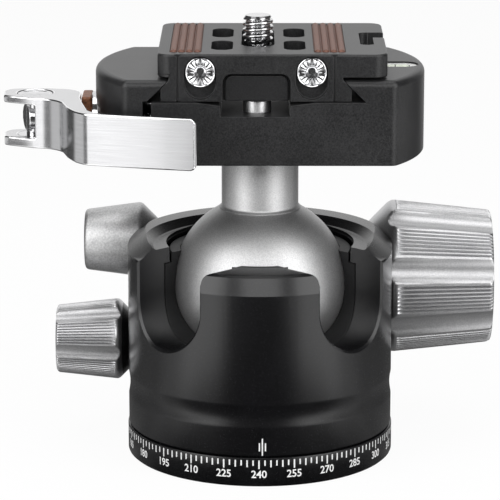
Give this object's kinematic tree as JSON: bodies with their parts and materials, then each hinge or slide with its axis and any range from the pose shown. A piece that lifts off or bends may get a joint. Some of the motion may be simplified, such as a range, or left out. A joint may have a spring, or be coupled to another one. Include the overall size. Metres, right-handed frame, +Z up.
{
  "type": "tripod ball head",
  "caption": "Ball head with a notched housing, coned knobs for lock, friction and panning, an engraved panning base, and a lever clamp that holds a quick-release plate with a camera screw.",
  "frame": {"origin": "centre of the tripod socket's mouth in the base's bottom face", "axes": "+Z up along the panning axis, -Y to the front where the index mark is, +X to the main locking knob"},
  "size_m": [0.1018, 0.0606, 0.092],
  "materials": {
    "base": "black anodised, bead blasted",
    "ring": "black anodised, bead blasted, white engraved scale",
    "housing": "black anodised, bead blasted",
    "clamp": "black anodised, bead blasted, bright chamfers",
    "plate": "black anodised, bead blasted",
    "ball": "satin, bead blasted",
    "stem": "satin, bead blasted",
    "knob": "titanium grey anodised",
    "lever": "titanium grey anodised, polished edges",
    "steel": "turned",
    "chrome": "polished",
    "black_steel": "black oxide",
    "brass": "turned",
    "nylon": "self-lubricating polymer",
    "liner": "hard black polymer",
    "rubber": "brown ribbed rubber",
    "cam_pad": "brown acetal",
    "level": "clear acrylic over a white bed",
    "vial": "green spirit level fluid"
  },
  "bodies": {
    "base": {"pan_base": "base", "index_ring": "ring", "ring_grub_screws": "black_steel", "socket_bushing": "steel", "thrust_washer": "nylon", "spindle_nut": "steel"},
    "housing": {"housing": "housing", "bearing_plate": "base", "spacer_ring": "steel", "wave_spring": "steel", "lower_cup": "nylon", "liner": "liner", "liner_key": "steel", "main_washer": "nylon", "pan_plunger": "brass", "pan_brake_pad": "nylon"},
    "main_knob": {"main_knob": "knob", "main_screw": "steel", "main_knob_cap": "black_steel"},
    "main_shoe": {"main_shoe": "brass"},
    "friction_knob": {"friction_knob": "knob", "friction_screw": "steel"},
    "friction_shoe": {"friction_shoe": "nylon"},
    "pan_knob": {"pan_knob": "knob", "pan_screw": "steel"},
    "ball": {"ball": "ball"},
    "stem": {"stem": "stem", "stem_bolt": "black_steel"},
    "clamp": {"clamp_body": "clamp", "jaw_guide_pins": "steel", "jaw_springs": "steel", "draw_rod": "steel", "rod_lock_screw": "black_steel", "trunnion": "steel", "level_housing": "level", "level_vial": "vial", "floor_stud": "chrome"},
    "jaw": {"moving_jaw": "clamp", "cam_pad": "cam_pad", "cam_washer": "steel"},
    "lever": {"lever": "lever"},
    "plate": {"plate": "plate", "plate_pads": "rubber", "stop_screws": "chrome"},
    "camera_screw": {"camera_screw": "chrome", "screw_washer": "black_steel"}
  },
  "joints": [
    {"name": "pan", "type": "hinge", "parent": "base", "child": "housing", "pos_m": [0, 0, 0], "axis": [0, 0, 1], "continuous": true},
    {"name": "main_lock", "type": "hinge", "parent": "housing", "child": "main_knob", "pos_m": [0.03, 0.016, 0.033], "axis": [1, 0, 0], "range_deg": [0, 270]},
    {"name": "main_shoe_slide", "type": "slide", "parent": "housing", "child": "main_shoe", "axis": [1, 0, 0], "range_m": [0, 0.0005]},
    {"name": "friction_lock", "type": "hinge", "parent": "housing", "child": "friction_knob", "pos_m": [-0.03, 0.018, 0.0405], "axis": [-1, 0, 0], "range_deg": [0, 270]},
    {"name": "friction_shoe_slide", "type": "slide", "parent": "housing", "child": "friction_shoe", "axis": [-1, 0, 0], "range_m": [0, 0.0004]},
    {"name": "pan_lock", "type": "hinge", "parent": "housing", "child": "pan_knob", "pos_m": [-0.035, 0.011, 0.0204], "axis": [-1, 0, 0], "range_deg": [0, 270]},
    {"name": "ball_roll", "type": "hinge", "parent": "housing", "child": "ball", "pos_m": [0, 0, 0.036], "axis": [-0.7193, -0.6947, 0], "range_deg": [-15, 20]},
    {"name": "ball_drop", "type": "hinge", "parent": "ball", "child": "stem", "pos_m": [0, 0, 0.036], "axis": [0.6947, -0.7193, 0], "range_deg": [-15, 90]},
    {"name": "clamp_spin", "type": "hinge", "parent": "stem", "child": "clamp", "pos_m": [0, 0, 0.07], "axis": [0, 0, 1], "continuous": true},
    {"name": "clamp_lever", "type": "hinge", "parent": "clamp", "child": "lever", "pos_m": [-0.0462, -0.0002, 0.07], "axis": [0, 0, 1], "range_deg": [-120, 0]},
    {"name": "jaw_slide", "type": "slide", "parent": "clamp", "child": "jaw", "axis": [-1, 0, 0], "range_m": [0, 0.0024]},
    {"name": "plate_slide", "type": "slide", "parent": "clamp", "child": "plate", "axis": [0, 1, 0], "range_m": [-0.015, 0.015]},
    {"name": "camera_screw_turn", "type": "hinge", "parent": "plate", "child": "camera_screw", "pos_m": [-0.00045, 0.0005, 0.085], "axis": [0, 0, 1], "continuous": true}
  ],
  "couplings": [
    {"joint": "main_shoe_slide", "follows": "main_lock", "m_per_rad": 0.0001},
    {"joint": "friction_shoe_slide", "follows": "friction_lock", "m_per_rad": 0.00008},
    {"joint": "jaw_slide", "follows": "clamp_lever", "m_per_rad": -0.0011459}
  ]
}
